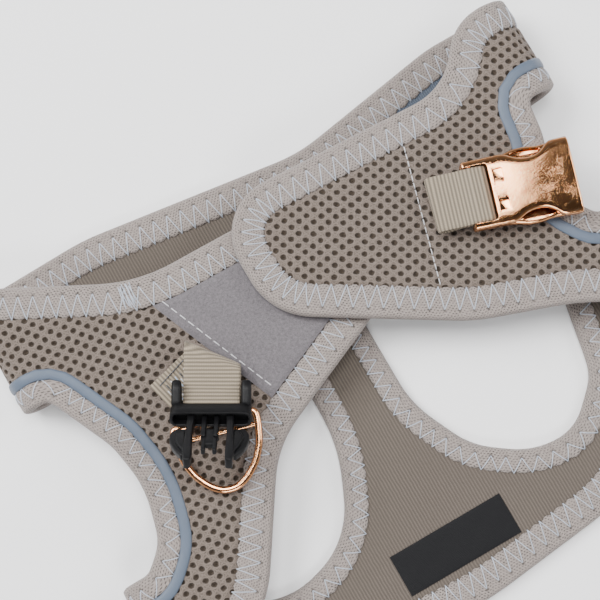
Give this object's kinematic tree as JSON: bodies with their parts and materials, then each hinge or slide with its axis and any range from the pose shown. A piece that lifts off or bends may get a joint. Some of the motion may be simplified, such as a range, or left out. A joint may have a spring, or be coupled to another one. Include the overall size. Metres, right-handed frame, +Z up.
{
  "type": "no pull harness",
  "caption": "Step-in vest harness for a dog, laid flat: mesh chest panel, two folded wings with hook and loop, a side-release buckle on webbing and a leash ring.",
  "frame": {"origin": "under the middle of the harness as it lies flat, on the surface it lies on", "axes": "+X across the dog towards the buckle socket's side, +Y towards the dog's head, +Z up from the surface, away from the chest panel"},
  "size_m": [0.228, 0.1874, 0.0473],
  "materials": {
    "air_mesh": "three-layer air mesh, taupe, open round cells",
    "ribbed_lining": "ribbed knit lining, darker taupe",
    "blue_lining": "smooth blue-grey lining cloth",
    "binding_tape": "soft knit fold-over binding, light greige, zigzag stitched",
    "leg_piping": "flat blue-grey satin piping",
    "label_fabric": "woven blank label, black",
    "loop_fabric": "brushed loop pile, lilac grey",
    "hook_tape": "hook tape, greige",
    "webbing": "ribbed polyester webbing, khaki tan",
    "rose_gold": "polished rose gold plating with fine scratches",
    "black_plastic": "moulded black acetal, satin"
  },
  "bodies": {
    "root": {"chest_mesh": "air_mesh", "left_neck_lining": "blue_lining", "right_neck_lining": "blue_lining", "chest_lining": "ribbed_lining", "chest_rear_binding": "binding_tape", "chest_neck_binding": "binding_tape", "left_leg_binding_under": "binding_tape", "left_leg_piping_under": "leg_piping", "right_leg_binding_under": "binding_tape", "right_leg_piping_under": "leg_piping", "label": "label_fabric", "left_neck_fold": "air_mesh", "left_rear_fold": "air_mesh", "left_fold_bindings": "binding_tape", "left_fold_piping": "leg_piping", "right_neck_fold": "air_mesh", "right_rear_fold": "air_mesh", "right_fold_bindings": "binding_tape", "right_fold_piping": "leg_piping"},
    "left_wing": {"left_wing_mesh": "air_mesh", "left_wing_lining": "ribbed_lining", "left_wing_binding": "binding_tape", "left_leg_binding": "binding_tape", "left_leg_piping": "leg_piping", "loop_patch": "loop_fabric", "male_base_webbing": "webbing", "ring_keeper": "webbing"},
    "right_wing": {"right_wing_mesh": "air_mesh", "right_wing_lining": "ribbed_lining", "right_wing_binding": "binding_tape", "right_leg_binding": "binding_tape", "right_leg_piping": "leg_piping", "hook_patch": "hook_tape", "female_base_webbing": "webbing"},
    "male_strap": {"male_webbing_loop": "webbing"},
    "male_buckle": {"male_buckle_frame": "black_plastic"},
    "male_left_arm": {"male_left_arm": "black_plastic"},
    "male_right_arm": {"male_right_arm": "black_plastic"},
    "d_ring": {"d_ring": "rose_gold"},
    "female_strap": {"female_webbing_loop": "webbing"},
    "female_buckle": {"female_buckle_shell": "rose_gold"}
  },
  "joints": [
    {"name": "right_wing_open", "type": "hinge", "parent": "root", "child": "right_wing", "pos_m": [0.1025, 0.03283, 0.0115], "axis": [0, 1, 0], "range_deg": [0, 120], "deforming": ["right_neck_fold", "right_rear_fold", "right_fold_bindings", "right_fold_piping"]},
    {"name": "left_wing_open", "type": "hinge", "parent": "root", "child": "left_wing", "pos_m": [-0.1055, 0.03283, 0.0085], "axis": [0, -1, 0], "range_deg": [0, 60], "deforming": ["left_neck_fold", "left_rear_fold", "left_fold_bindings", "left_fold_piping"]},
    {"name": "female_strap_flip", "type": "hinge", "parent": "right_wing", "child": "female_strap", "pos_m": [0.0517, 0.03643, 0.02765], "axis": [-0.2647, -0.9643, 0], "range_deg": [0, 135]},
    {"name": "female_buckle_tilt", "type": "hinge", "parent": "female_strap", "child": "female_buckle", "pos_m": [0.06361, 0.03263, 0.0294], "axis": [-0.304, -0.9527, 0], "range_deg": [0, 40]},
    {"name": "male_strap_flip", "type": "hinge", "parent": "left_wing", "child": "male_strap", "pos_m": [-0.0457, 0.02853, 0.02225], "axis": [-0.6053, 0.796, 0], "range_deg": [0, 120]},
    {"name": "male_buckle_tilt", "type": "hinge", "parent": "male_strap", "child": "male_buckle", "pos_m": [-0.0532, 0.01554, 0.0246], "axis": [-0.866, 0.5, 0], "range_deg": [-35, 10]},
    {"name": "d_ring_swing", "type": "hinge", "parent": "left_wing", "child": "d_ring", "pos_m": [-0.0555, 0.01083, 0.0199], "axis": [-0.9613, 0.2756, 0], "range_deg": [0, 108]},
    {"name": "male_left_arm_squeeze", "type": "hinge", "parent": "male_buckle", "child": "male_left_arm", "pos_m": [-0.04955, 0.00486, 0.03202], "axis": [-0.3536, -0.6124, -0.7071], "range_deg": [0, 7], "stiffness_Nm_per_rad": 0.05},
    {"name": "male_right_arm_squeeze", "type": "hinge", "parent": "male_buckle", "child": "male_right_arm", "pos_m": [-0.06427, 0.01336, 0.03202], "axis": [0.3536, 0.6124, 0.7071], "range_deg": [0, 7], "stiffness_Nm_per_rad": 0.05}
  ],
  "couplings": [
    {"joint": "left_wing_open", "follows": "right_wing_open", "ratio": 0.5},
    {"joint": "d_ring_swing", "follows": "male_strap_flip", "ratio": 0.9}
  ]
}
